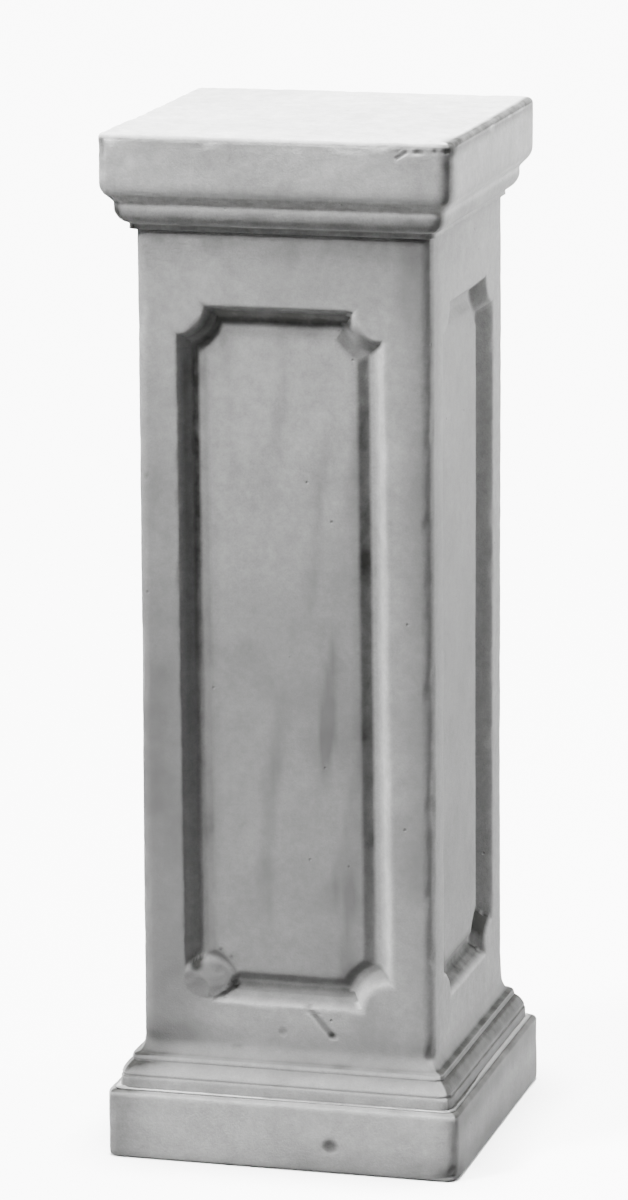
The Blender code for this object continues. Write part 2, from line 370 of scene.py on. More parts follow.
class PanelShape:
    """A sunk panel with scooped corners: where it is on a side, and how deep its groove is."""

    def __init__(self, sizes, bottom):
        self.low = bottom + sizes.bottom_rail
        self.high = CAP_LOW.z - sizes.top_rail
        self.middle = (self.low + self.high) / 2
        self.half_width = sizes.shaft_width / 2 - sizes.stile_width
        self.half_height = (self.high - self.low) / 2
        self.scoop = sizes.scoop_radius
        self.width = sizes.groove_width

    def lean(self, side, across, height):
        """How far the panel stands off the middle of its side: the front one is a little askew."""
        above = height - self.middle
        further = above * (0.0055 + 0.0045 * ramp(across, 0.070, 0.086))
        return np.where(side == FRONT, -1.3 * MM - further, 0.0)

    def reach(self, across, height):
        """How far in each point is from the nearest straight lips, sideways and upward."""
        return self.half_width - np.abs(across), self.half_height - np.abs(height - self.middle)

    def inset(self, across, height):
        """Distance in from the outer lip, negative outside it."""
        side, rail = self.reach(across, height)
        corner = np.hypot(side, rail) - self.scoop
        return np.minimum(np.minimum(side, rail), corner)

    def edges(self, across, height):
        """Shares of the panel's left, top, right and bottom in each point; a scoop has two of them."""
        side, rail = self.reach(across, height)
        corner = np.hypot(side, rail) - self.scoop < np.minimum(side, rail)
        along = np.where(corner, side, side <= rail)
        upward = np.where(corner, rail, side > rail)
        total = along * along + upward * upward + 1e-12
        along = along * along / total
        upward = upward * upward / total
        right = across > 0
        high = height > self.middle
        return np.stack([along * ~right, upward * high, along * right, upward * ~high], 1)

    def outline(self, inset, long_step, short_step):
        """Points of the scooped outline at an inset, alike in number for every inset."""
        radius = self.scoop + inset
        start = math.asin(inset / radius)
        arc_steps = int(math.pi / 2 * (self.scoop + self.width / 2) / short_step)
        sweep = math.pi * 1.5 - np.linspace(start, math.pi / 2 - start, arc_steps + 1)
        curves = []
        for turn, (across, upward) in enumerate(((1, 1), (-1, 1), (-1, -1), (1, -1))):
            corner = np.array((across * self.half_width, upward * self.half_height))
            angles = sweep + turn * math.pi / 2
            curves.append(corner + radius * np.stack([np.cos(angles), np.sin(angles)], 1))
        points = []
        for turn, curve in enumerate(curves):
            reach = 2 * (self.half_height if turn in (1, 3) else self.half_width)
            steps = int((reach - 2 * self.scoop) / long_step)
            shares = np.linspace(0.0, 1.0, steps + 1)[1:-1, None]
            goal = curves[(turn + 1) % 4][0]
            points += [curve, curve[-1] + (goal - curve[-1]) * shares]
        return np.concatenate(points) + (0.0, self.middle)


def panel_curve(sizes):
    """The panel's section as matched lists of inset and depth: lip, slope, groove floor, wall and field."""
    depth = sizes.groove_depth
    field = depth - sizes.field_rise
    section = [(-0.012, 0.0), (0.0, 0.0), (sizes.lip_run, depth)]
    section += [(sizes.groove_width - sizes.field_wall, depth), (sizes.groove_width, field), (0.040, field)]
    path = softened(section, 0.25 * MM, 1.15 * MM)
    return path[:, 0], path[:, 1]


def side_of(points):
    """Which of the four sides each point belongs to, and its place across that side."""
    angle = np.arctan2(points[:, 0], -points[:, 1])
    side = np.round(angle / (math.pi / 2)).astype(int) % 4
    across = np.select([side == 0, side == 1, side == 2, side == 3],
                       [points[:, 0], points[:, 1], -points[:, 0], -points[:, 1]])
    return side, across


def fall(values, start, end):
    """One up to start, easing down to nothing at end."""
    return 1.0 - ramp(values, start, end)


def wander(points, scale, seed, octaves=2):
    """Smooth noise about zero at each point; scale is its size in metres."""
    offset = Vector((seed * 7.3, seed * 3.1, seed * 5.7))
    values = [noise.fractal(Vector(point) / scale + offset, 1.0, 2.0, octaves) for point in points]
    return np.array(values)


def sway(points, sizes, scale, seed):
    """How far a cast face stands off true, in broad waves and in small ones."""
    return wander(points, scale, seed) * sizes.waviness + wander(points, 0.012, seed + 1.0) * 0.13 * MM


class Places:
    """Where each point of a piece is, and how it lies on the side it belongs to."""

    def __init__(self, piece):
        self.points = self.read(piece, "co")
        self.normals = self.read(piece, "normal")
        self.height = self.points[:, 2]
        self.half = np.abs(self.points[:, :2]).max(1)
        self.flat = np.stack([self.points[:, 0], self.height], 1)
        self.side, self.across = side_of(self.points)
        self.front = (self.side == FRONT).astype(float)
        self.right = (self.side == RIGHT).astype(float)

    def read(self, piece, name):
        """One vector for each point."""
        found = np.zeros(len(piece.data.vertices) * 3, np.float32)
        piece.data.vertices.foreach_get(name, found)
        return found.reshape(-1, 3).astype(float)

    def measure(self, shape):
        """Adds each point's place in the panel of its side."""
        self.across = self.across - shape.lean(self.side, self.across, self.height)
        self.inset = shape.inset(self.across, self.height)
        self.edges = shape.edges(self.across, self.height)


def set_points(piece, points, low, high):
    """Moves a piece's points, kept inside its solid's box."""
    held = np.clip(points, np.array(low), np.array(high))
    piece.data.vertices.foreach_set("co", held.astype(np.float32).ravel())
    piece.data.update()


def set_mask(piece, name, values):
    """Stores one number between 0 and 1 on each point, for the stone's material to read."""
    layer = piece.data.attributes.new(name, "FLOAT", "POINT")
    layer.data.foreach_set("value", np.clip(values, 0.0, 1.0).astype(np.float32))


def ramp(values, start, end):
    """Smooth step of values from 0 at start to 1 at end."""
    share = np.clip((values - start) / (end - start), 0.0, 1.0)
    return share * share * (3 - 2 * share)


class Stone:
    """Builds the node tree of the cast stone."""

    def __init__(self, name):
        self.material = bpy.data.materials.new(name)
        self.material.use_nodes = True
        self.tree = self.material.node_tree
        self.shader = self.tree.nodes["Principled BSDF"]
        self.place = self.tree.nodes.new("ShaderNodeTexCoord").outputs["Object"]

    def put(self, socket, value):
        """Links a socket, or sets it to a plain value."""
        if isinstance(value, bpy.types.NodeSocket):
            self.tree.links.new(value, socket)
        else:
            socket.default_value = value

    def clouds(self, scale, detail, rough=0.5, stretch=(1.0, 1.0, 1.0)):
        """Noise of a size in metres, optionally drawn out along an axis."""
        place = self.tree.nodes.new("ShaderNodeMapping")
        self.put(place.inputs["Vector"], self.place)
        place.inputs["Scale"].default_value = [1.0 / (scale * along) for along in stretch]
        made = self.tree.nodes.new("ShaderNodeTexNoise")
        self.put(made.inputs["Vector"], place.outputs["Vector"])
        made.inputs["Scale"].default_value = 1.0
        made.inputs["Detail"].default_value = detail
        made.inputs["Roughness"].default_value = rough
        return made.outputs["Fac"]

    def cells(self, size, spread):
        """Distance to scattered points, size apart."""
        made = self.tree.nodes.new("ShaderNodeTexVoronoi")
        self.put(made.inputs["Vector"], self.place)
        made.inputs["Scale"].default_value = 1.0 / size
        made.inputs["Randomness"].default_value = spread
        return made.outputs["Distance"]

    def maths(self, kind, first, second, held=False):
        """One arithmetic step."""
        made = self.tree.nodes.new("ShaderNodeMath")
        made.operation = kind
        made.use_clamp = held
        self.put(made.inputs[0], first)
        self.put(made.inputs[1], second)
        return made.outputs[0]

    def spread(self, value, low, high, to_low, to_high):
        """Maps a range of values onto another, held at its ends."""
        made = self.tree.nodes.new("ShaderNodeMapRange")
        self.put(made.inputs["Value"], value)
        for socket, number in zip(("From Min", "From Max", "To Min", "To Max"), (low, high, to_low, to_high)):
            made.inputs[socket].default_value = number
        return made.outputs["Result"]

    def mask(self, name):
        """A number stored on the piece's points."""
        made = self.tree.nodes.new("ShaderNodeAttribute")
        made.attribute_name = name
        return made.outputs["Fac"]

    def blend(self, share, first, second, mode="MIX"):
        """Mixes two colours by a share."""
        made = self.tree.nodes.new("ShaderNodeMix")
        made.data_type = "RGBA"
        made.blend_type = mode
        self.put(made.inputs[0], share)
        self.put(made.inputs[6], first)
        self.put(made.inputs[7], second)
        return made.outputs[2]

    def bump(self, height, distance, strength, under=None):
        """Adds fine relief to the shading."""
        made = self.tree.nodes.new("ShaderNodeBump")
        self.put(made.inputs["Height"], height)
        made.inputs["Distance"].default_value = distance
        made.inputs["Strength"].default_value = strength
        if under is not None:
            self.put(made.inputs["Normal"], under)
        return made.outputs["Normal"]


def cast_stone(name, colours):
    """Weathered cast stone: clouded grey with sandy grain, pinholes, bleached edges and settled grime, with
    painted shade and highlight.
    """
    stone = Stone(name)
    cloud = stone.clouds(0.11, 4.0, 0.55)
    mottle = stone.clouds(0.018, 3.0, 0.6)
    grain = stone.clouds(0.0016, 2.0, 0.7)
    streak = stone.clouds(0.009, 3.0, 0.6, (1.0, 1.0, 0.30))
    pinhole = stone.spread(stone.cells(0.034, 1.0), 0.018, 0.046, 1.0, 0.0)
    tone = stone.spread(cloud, 0.3, 0.7, 0.90, 1.10)
    for clouds, reach, change in ((mottle, 0.20, 0.12), (stone.clouds(0.006, 2.0, 0.6), 0.20, 0.09),
                                  (grain, 0.25, 0.12), (streak, 0.20, 0.03)):
        shade = stone.spread(clouds, 0.5 - reach, 0.5 + reach, 1.0 - change, 1.0 + change)
        tone = stone.maths("MULTIPLY", tone, shade)
    # The bleach mask lightens towards the pale colour: bleaching, and painted highlight on lit lips and
    # arrises and under the fascia
    body = stone.blend(stone.mask("bleach_and_highlight"), (*colours.stone, 1.0), (*colours.pale, 1.0))
    grey = stone.tree.nodes.new("ShaderNodeCombineColor")
    for channel in ("Red", "Green", "Blue"):
        stone.put(grey.inputs[channel], tone)
    body = stone.blend(1.0, body, grey.outputs["Color"], "MULTIPLY")
    # The stain mask darkens towards the damp colour: broad stains, and painted shade on the right side and at
    # the plinth's foot
    damp_and_shade = stone.maths("MULTIPLY", stone.mask("stain_and_shade"), stone.spread(cloud, 0.3, 0.7, 0.80, 1.20), True)
    body = stone.blend(damp_and_shade, body, (*colours.damp_and_shade, 1.0))
    # The grime mask and the pinholes darken towards the grime colour: dirt, drips, and painted shade in
    # hollows, creases and under the cap
    dirt_and_shade = stone.maths("MULTIPLY", stone.mask("grime_and_shade"), stone.spread(mottle, 0.25, 0.75, 0.88, 1.12), True)
    run = stone.maths("MULTIPLY", stone.mask("runs"), stone.spread(streak, 0.42, 0.66, 0.0, 1.0), True)
    dirt_and_shade = stone.maths("MAXIMUM", dirt_and_shade, run)
    dirt_and_shade = stone.maths("MAXIMUM", dirt_and_shade, stone.maths("MULTIPLY", pinhole, 0.30))
    stone.put(stone.shader.inputs["Base Color"], stone.blend(dirt_and_shade, body, (*colours.grime_and_shade, 1.0)))
    stone.put(stone.shader.inputs["Roughness"], stone.spread(mottle, 0.3, 0.7, 0.82, 0.96))
    stone.shader.inputs["Specular IOR Level"].default_value = 0.27
    relief = stone.bump(mottle, 0.0012, 0.35)
    relief = stone.bump(grain, 0.0004, 0.6, relief)
    relief = stone.bump(stone.maths("SUBTRACT", 1.0, pinhole), 0.0012, 0.7, relief)
    stone.put(stone.shader.inputs["Normal"], relief)
    return stone.material


def dress(piece, node, colours):
    """Gives a piece its stone, and puts it in its solid's place."""
    piece.data.materials.append(cast_stone(piece.name + "_stone", colours))
    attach(piece, "root")
    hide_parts(node)


def arris_share(points, radius):
    """How near each point is to an upright arris, from 0 on the flats to 1 on the rounding's middle."""
    plan = np.sort(np.abs(points[:, :2]), 1)
    return ramp(plan[:, 0], plan[:, 1] - radius, plan[:, 1] - 0.35 * radius)


def spot(points, centre, reach):
    """A soft round patch: 1 at its centre, 0 at its reach, which may differ by axis."""
    apart = (points - np.array(centre)) / np.array(reach)
    return fall(np.sqrt((apart * apart).sum(1)), 0.25, 1.0)


def stroke(points, start, end, width):
    """A soft straight stroke between two places."""
    first = np.array(start)
    along = np.array(end) - first
    share = np.clip((points - first) @ along / (along @ along), 0.0, 1.0)
    apart = points - first - share[:, None] * along
    return fall(np.sqrt((apart * apart).sum(1)), 0.2 * width, width)


class PEDESTAL_OT_shaft(Operator):
    """Builds the panelled shaft with its base moulding and plinth"""
    bl_idname = "pedestal.shaft"
    bl_label = "Shaft and Base"

    def execute(self, context):
        sizes = context.scene.pedestal_sizes
        half = sizes.shaft_width / 2
        path = base_path(sizes)
        foot = path[-1][1]
        rows = paced(softened(path, 0.2 * MM, 0.8 * MM), 4.6 * MM, 0.25)
        rows[-1] = (half, foot)
        bug_hole = np.array([(SHAFT_HIGH.x, height) for height in np.arange(17.0, 30.0, 1.6) * MM])
        rows = np.concatenate([rows, bug_hole])
        rows = rows[np.argsort(rows[:, 1], kind="stable")]
        easing = ramp(rows[:, 1], foot - 0.012, foot)
        radii = sizes.base_arris + (sizes.shaft_arris - sizes.base_arris) * easing
        shares, turns = plan_columns(0.036, [(0.252, 0.360)], 8)
        skin = Skin()
        rings = skin.add_rings(rows, shares, turns, radii)
        skin.add_level(rings[0], 0.0, LEVEL_STEP, False)
        heights = np.linspace(foot, SHAFT_HIGH.z, int((SHAFT_HIGH.z - foot) / ROW_STEP) + 1)
        self.shape = PanelShape(sizes, foot)
        self.add_sides(skin, sizes, shares, turns, heights)
        rim = around(*side_ring(shares, turns, half, sizes.shaft_arris))
        skin.add_level(rim, SHAFT_HIGH.z, LEVEL_STEP, True)
        piece = skin.weld("shaft_and_base_skin")
        self.weather(piece, sizes)
        dress(piece, "shaft_and_base", context.scene.pedestal_colours)
        return {"FINISHED"}

    def add_sides(self, skin, sizes, shares, turns, heights):
        """The four panelled faces and the arrises between them."""
        half = sizes.shaft_width / 2
        flat = half - sizes.shaft_arris
        foot, head = heights[0], heights[-1]
        insets = np.array((-5.0, -3.2, -2.0, -1.0, 0.0, 1.0, 2.0, 3.2, 5.0, 7.0, 8.8, 9.8, 10.6, 11.6, 13.6,
                           15.6, 16.6, 17.8, 19.6, 21.6, 22.8, 23.8, 24.8, 26.4)) * MM
        rings = [self.shape.outline(inset, GROOVE_STEP, SCOOP_STEP) for inset in insets]
        count = len(rings[0])
        rings = np.concatenate(rings)
        edge = [(share * flat, height) for share in shares for height in (foot, head)]
        edge += [(side * flat, height) for side in (-1, 1) for height in heights[1:-1]]
        grid = np.stack(np.meshgrid(np.arange(-flat + 4.0 * MM, flat - 2.0 * MM, FLAT_STEP),
                                    np.arange(foot + 3.0 * MM, head - 2.0 * MM, FLAT_STEP)), -1)
        grid = grid.reshape(-1, 2)
        inset = self.shape.inset(grid[:, 0], grid[:, 1])
        grid = grid[(inset < insets[0] - 2.5 * MM) | (inset > insets[-1] + 2.5 * MM)]
        curve, depths = panel_curve(sizes)
        rows = [(len(edge) + row * count + step, len(edge) + row * count + (step + 1) % count)
                for row in range(len(insets)) for step in range(count)]
        for side in range(4):
            patches = [np.array(edge), rings, grid]
            if side == FRONT:
                patches += self.marked_places()
            places = np.concatenate(patches)
            places = places[self.apart(places, len(edge) + len(rings))]
            across, height = places.T
            depth = np.interp(self.shape.inset(across, height), curve, depths)
            askew = self.shape.lean(side, across, height) * ramp(flat - np.abs(across), 0.0, 0.012)
            askew = askew * ramp(height, foot, foot + 0.02) * fall(height, head - 0.02, head)
            xs, ys = turned(across + askew, -half + depth, side)
            skin.add(np.stack([xs, ys, height], 1), triangles(places, rows))
            self.add_arris(skin, flat, sizes.shaft_arris, turns, heights, side)

    def add_arris(self, skin, flat, radius, turns, heights, side):
        """The rounded arris at a side's right-hand end."""
        turns = np.concatenate([[0.0], turns, [math.pi / 2]])
        xs, ys = turned(flat + radius * np.sin(turns), -flat - radius * np.cos(turns), side)
        count = len(turns)
        strip = [(row * count + column, row * count + column + 1, (row + 1) * count + column + 1,
                  (row + 1) * count + column)
                 for row in range(len(heights) - 1) for column in range(count - 1)]
        skin.add([(x, y, height) for height in heights for x, y in zip(xs, ys)], strip)

    def marked_places(self):
        """Closer points where the front face is gouged and its lower left scoop is worn away."""
        patches = []
        for low, high, step in (((10.0, 104.0), (46.0, 140.0), 1.5), ((-9.0, 105.0), (2.0, 117.0), 1.6),
                                ((-94.0, 126.0), (-46.0, 186.0), 2.1)):
            xs = np.arange(low[0], high[0], step)
            zs = np.arange(low[1], high[1], step)
            patches.append(np.stack(np.meshgrid(xs, zs), -1).reshape(-1, 2) * MM)
        return patches

    def apart(self, points, kept):
        """Marks points that stand at least a little apart from the ones before them, so none coincide."""
        cells = set()
        chosen = np.zeros(len(points), bool)
        for place, (across, height) in enumerate(points):
            cell = (round(across / (1.0 * MM)), round(height / (1.0 * MM)))
            if place < kept or cell not in cells:
                chosen[place] = True
            cells.add(cell)
        return chosen

    def weather(self, piece, sizes):
        """Moves the faces off true, wears and marks the stone, and stores where grime, painted shade,
        bleaching and painted highlight lie.
        """
        at = Places(piece)
        at.measure(self.shape)
        points, height, front = at.points, at.height, at.front
        inside = ramp(height, 0.5 * MM, 3.0 * MM) * fall(height, SHAFT_HIGH.z - 2.0 * MM, SHAFT_HIGH.z)
        upright = arris_share(points, sizes.shaft_arris)
        ragged = ramp(wander(points, 0.030, 3.0, 3), -0.1, 0.8)
        lip = fall(np.abs(at.inset), 0.0, 4.5 * MM)
        worn = ragged * (sizes.arris_wear * upright + 0.9 * MM * lip) + 0.3 * MM
        worn += self.gouges(at.flat, front)
        worn += 4.0 * MM * spot(points, (SHAFT_HIGH.x, SHAFT_LOW.y, 0.0), (0.022, 0.022, 0.013))
        moved = points + at.normals * ((sway(points, sizes, 0.17, 1.0) - worn) * inside)[:, None]
        moved[:, 1] -= self.worn_scoop(at, sizes) * front
        taper = ramp(height, 0.10, 0.78)
        share = points[:, 0] / at.half
        moved[:, 0] -= 3.0 * MM * taper * np.minimum(share, 0.0)
        inward = (1.4 - 0.8 * taper) * MM * np.clip(0.5 + points[:, 1] / sizes.shaft_width, 0.0, 1.0)
        moved[:, 0] -= inward * np.maximum(share, 0.0) * ramp(height, 0.095, 0.13)
        moved[:, 2] = np.where(height < 0.5 * MM, height, moved[:, 2])
        set_points(piece, moved, SHAFT_LOW, SHAFT_HIGH)
        self.settle_and_shade(piece, at)
        self.discolour(piece, at)

    def gouges(self, flat, front):
        """Depth of the gouge and its lesser neighbour under the front panel, and of the bug hole."""
        gouge = stroke(flat, (0.0170, 0.134), (0.0370, 0.112), 0.0042)
        heel = spot(flat, (0.0390, 0.1103), (0.0052, 0.0036))
        nick = spot(flat, (-0.0036, 0.1108), (0.0050, 0.0045))
        hole = spot(flat, (0.0426, 0.0232), (0.0075, 0.0070))
        return front * MM * (1.1 * gouge + 1.5 * heel + 0.8 * nick + 1.7 * hole)

    def worn_scoop(self, at, sizes):
        """How far the lower left scoop of the front panel has filled up, nearly flush with the field."""
        curve, depths = panel_curve(sizes)
        level = (sizes.groove_depth - sizes.field_rise) * ramp(at.inset, -0.002, 0.024)
        rise = np.interp(at.inset, curve, depths) - level - wander(at.points, 0.007, 4.0) * 0.4 * MM
        return rise * self.filled(at.flat)

    def filled(self, flat):
        """Where the worn lower left scoop is filled."""
        apart = (flat - (-0.0690, 0.1505)) / (0.0245, 0.0192)
        return fall(np.sqrt((apart * apart).sum(1)), 0.72, 1.0)

    def settle_and_shade(self, piece, at):
        """Stores where dirt has settled, where shade is painted, and where rain has run down from the cap."""
        height, half, across, inset = at.height, at.half, at.across, at.inset
        points, edges, front, right = at.points, at.edges, at.front, at.right
        patchy = wander(points, 0.030, 5.0, 3)
        shaft = ramp(height, 0.100, 0.112)
        steps = np.array(GROOVE_STEPS) * MM
        # Dirt and painted shade in the panel grooves, by side and by the groove's edge
        zones = np.stack([np.interp(inset, steps, share) for share in GROOVE_SHARES], 1)
        layers = zones * np.einsum("ne,nez->nz", edges, SOIL_AND_SHADE[at.side])
        layers[:, :2] *= 1.0 - 0.66 * edges[:, :1] * fall(height, 0.20, 0.60)[:, None]
        layers[:, 2] *= 1.0 - 0.40 * edges[:, 2] * fall(height, 0.18, 0.30)
        grime_and_shade = layers.sum(1) * shaft * (1.0 + (0.24 - 0.16 * right) * patchy)
        corner = ramp(across, 0.050, 0.065) * fall(height, 0.150, 0.180)
        grime_and_shade += 0.60 * right * corner * fall(inset, 0.016, 0.024) * ramp(inset, 0.0, 0.003)
        grime_and_shade = grime_and_shade * (1.0 - front * self.filled(at.flat))
        # Painted shade along the front right arris, widening its shaded rounding: darker higher up, and
        # darkest on the plinth
        strength = 0.24 * ramp(height, 0.15, 0.60) + 0.30 * fall(height, 0.050, 0.075)
        grime_and_shade += front * fall(half - points[:, 0], 0.004, 0.026) * strength
        apart = half + points[:, 1]
        beyond = 0.5 + 0.5 * ramp(apart, 0.006, 0.016)
        grime_and_shade += right * beyond * fall(apart, 0.004, 0.042) * (strength + 0.16)
        # Painted shade on the base's up-facing ledges and arrises, strongest on the right side, with settled
        # dirt
        moulded = height < MOULDINGS_TOP
        rise = at.normals[:, 2]
        rising = np.where((at.side == RIGHT) & moulded, ramp(rise, 0.02, 0.45), ramp(rise, 0.10, 0.85))
        rising = rising * (1.0 - shaft) * (height > 1.0 * MM)
        grime_and_shade += rising * (0.60 + 0.22 * right * moulded) * (1.0 + 0.1 * patchy)
        grime_and_shade += 0.50 * front * fall(half + points[:, 0], 0.004, 0.045) * (1.0 - shaft)
        # Painted shade in the quirks between the base mouldings, strongest on the right side
        for quirk in QUIRKS:
            line = fall(np.abs(height - quirk * MM), 0.3 * MM, 2.6 * MM)
            grime_and_shade += line * (half < SHAFT_HIGH.x - 0.004) * (0.04 + 0.26 * right)
        grime_and_shade += 0.06 * ramp(patchy, 0.1, 0.7)
        # Painted shade at the top of the shaft under the cap, with dirt, and a dark line of painted shadow
        # under the cap's fillet
        crown = SHAFT_HIGH.z - height
        grime_and_shade += 0.38 * fall(crown, 0.0, 0.036) * (1.0 + 0.6 * patchy) * (1.0 - 0.7 * right)
        grime_and_shade = np.maximum(grime_and_shade, 0.55 * fall(crown, 0.001, 0.005) * (1.0 - 0.5 * right))
        grime_and_shade += front * self.marks(at.flat)
        set_mask(piece, "grime_and_shade", grime_and_shade)
        set_mask(piece, "runs", (0.45 - 0.25 * right) * fall(crown, 0.004, 0.042))

    def marks(self, flat):
        """Dark dots, the gouge's shade and the crumbled ends of the worn scoop on the front."""
        shade = 0.46 * stroke(flat, (0.0180, 0.133), (0.0380, 0.111), 0.0042)
        for centre, reach, strength in FRONT_MARKS:
            shade = shade + strength * spot(flat, centre, reach)
        return shade + 0.12 * stroke(flat, (-0.0615, 0.1500), (-0.0575, 0.1360), 0.0060)

    def discolour(self, piece, at):
        """Stores the broad stains, darker towards the bottom, the painted shade on the right side, near the
        front's right arris and at the plinth's foot, and where the stone is rubbed pale or painted with
        highlight.
        """
        height, across, inset, points = at.height, at.across, at.inset, at.points
        edges, front, right = at.edges, at.front, at.right
        cloudy = wander(points, 0.14, 6.0, 2)
        patchy = wander(points, 0.040, 7.0, 3)
        shaft = ramp(height, 0.088, 0.105)
        low = fall(height, 0.36, 0.66)
        field = ramp(inset, 0.020, 0.028)
        stain_and_shade = 0.43 + 0.31 * ramp(-across, 0.060, 0.100) + 0.16 * field * ramp(across, -0.030, 0.045)
        stain_and_shade = 0.09 + low * stain_and_shade
        stain_and_shade -= 0.22 * low * ramp(across, 0.070, 0.085)
        upright = (edges[:, 0] + edges[:, 2]) * ramp(inset, 0.0, 0.003) * fall(inset, 0.012, 0.017)
        stain_and_shade *= 1.0 - 0.45 * low * upright
        # Painted shade on the stile as it nears the front's right arris
        stain_and_shade += (0.32 - 0.12 * low) * ramp(across, 0.092, 0.112) * (1.0 - field)
        stain_and_shade = np.maximum(stain_and_shade, 0.95 * self.filled(at.flat))
        stain_and_shade += 0.26 * spot(at.flat, (-0.108, 0.600), (0.030, 0.090))
        stain_and_shade += 0.16 * spot(at.flat, (0.108, 0.290), (0.034, 0.090))
        stain_and_shade += 0.26 * ramp(across, -0.050, 0.100) * ramp(height, 0.690, 0.745)
        stain_and_shade -= 0.25 * low * fall(height, 0.125, 0.150) * fall(np.abs(across), 0.030, 0.090)
        slanting = np.stack([(points[:, 0] - 0.10 * height) * 9.0, points[:, 1] * 9.0, height], 1)
        smears = ramp(wander(slanting, 0.22, 8.0, 3), 0.0, 0.7)
        stain_and_shade += smears * (0.10 + 0.26 * field)
        other = 0.12 + 0.30 * low + 0.25 * ramp(cloudy, 0.0, 0.8) + 0.16 * smears
        # The right side is darker lower down, as painted shade where its light falls off
        beside = 0.07 + 0.32 * low + 0.18 * field
        stain_and_shade = front * stain_and_shade + right * beside + (1.0 - front - right) * other
        plinth = fall(height, 0.050, 0.062)
        base = (1.0 - shaft) * (1.0 - plinth)
        cove = ramp(height, 0.082, 0.088) * fall(height, 0.100, 0.125)
        # On the base and plinth the right side is far darker, as painted shade
        stain_and_shade = stain_and_shade * shaft + base * (0.36 + 0.62 * right) + 0.26 * cove * front
        stain_and_shade += plinth * (0.16 + 0.30 * right + 0.45 * right * ramp(height, 0.026, 0.056))
        # Painted shade along the plinth's foot by the floor, lighter on the left of the front
        foot = plinth * (0.24 + 0.21 * np.maximum(right, ramp(across, -0.080, 0.060)))
        stain_and_shade += foot * fall(height, 0.0, 0.036) + 0.14 * cloudy + 0.10 * patchy
        set_mask(piece, "stain_and_shade", stain_and_shade)
        # Painted highlight on the panels' right lips, which face the light, a little on the bottom lips, and
        # on the plinth's top arris except on the right side; the plinth is paler
        lip = fall(np.abs(inset - 2.0 * MM), 2.0 * MM, 7.0 * MM) * shaft
        pale = lip * (0.95 * edges[:, 2] + 0.15 * edges[:, 3]) * (at.side != RIGHT)
        arris = fall(np.abs(height - 0.0565), 1.0 * MM, 3.0 * MM)
        pale = pale + 0.30 * plinth + 0.20 * arris * (1.0 - right) + 0.12
        set_mask(piece, "bleach_and_highlight", pale)


